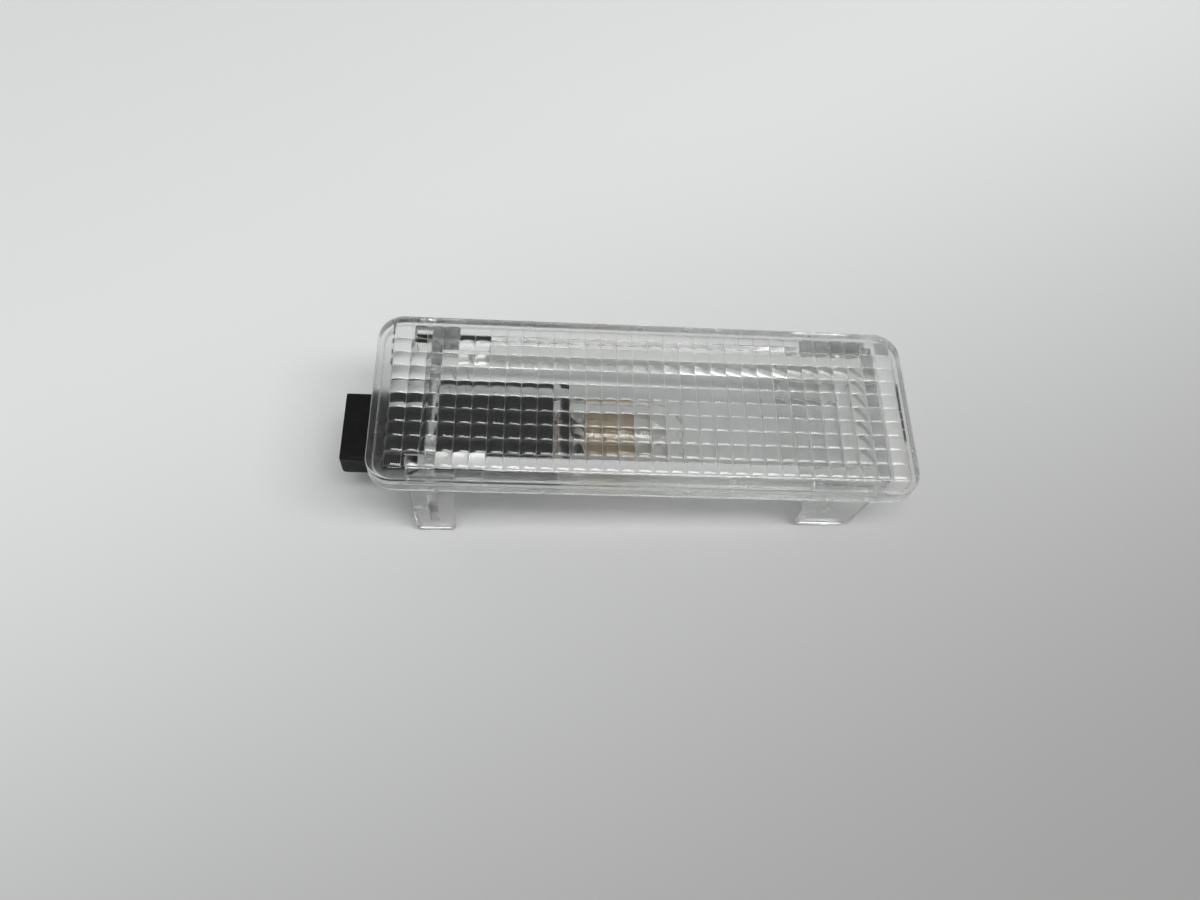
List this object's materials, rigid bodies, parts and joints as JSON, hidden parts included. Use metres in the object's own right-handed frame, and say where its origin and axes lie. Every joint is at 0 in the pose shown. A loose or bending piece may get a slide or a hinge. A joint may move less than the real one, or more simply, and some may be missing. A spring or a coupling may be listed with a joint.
{
  "type": "trunk light",
  "caption": "Clear car boot lamp: pillow-optic lens housing on snap legs, with a black slide-in holder carrying a wedge-base bulb and a flat plug end.",
  "frame": {"origin": "centre of the rim's underside, where it seats on the panel", "axes": "+X along the lamp away from the plug, +Y across, +Z out through the lens"},
  "size_m": [0.0871, 0.0284, 0.0218],
  "materials": {
    "clear_acrylic": "clear moulded acrylic, slightly scuffed",
    "black_plastic": "fine moulded texture",
    "tinned_bronze": "tinned spring strip",
    "bulb_glass": "clear glass with a brown heat stain",
    "tungsten": "bare coil",
    "lead_wire": "drawn wire"
  },
  "bodies": {
    "housing": {"lens_housing": "clear_acrylic"},
    "holder": {"bulb_holder": "black_plastic", "contact_front": "tinned_bronze", "contact_rear": "tinned_bronze"},
    "bulb": {"bulb_glass": "bulb_glass", "filament": "tungsten", "lead_front": "lead_wire", "lead_rear": "lead_wire"}
  },
  "joints": [
    {"name": "holder_slide", "type": "slide", "parent": "housing", "child": "holder", "axis": [-1, 0, 0], "range_m": [0, 0.042]},
    {"name": "bulb_slide", "type": "slide", "parent": "holder", "child": "bulb", "axis": [1, 0, 0], "range_m": [0, 0.0105]}
  ]
}
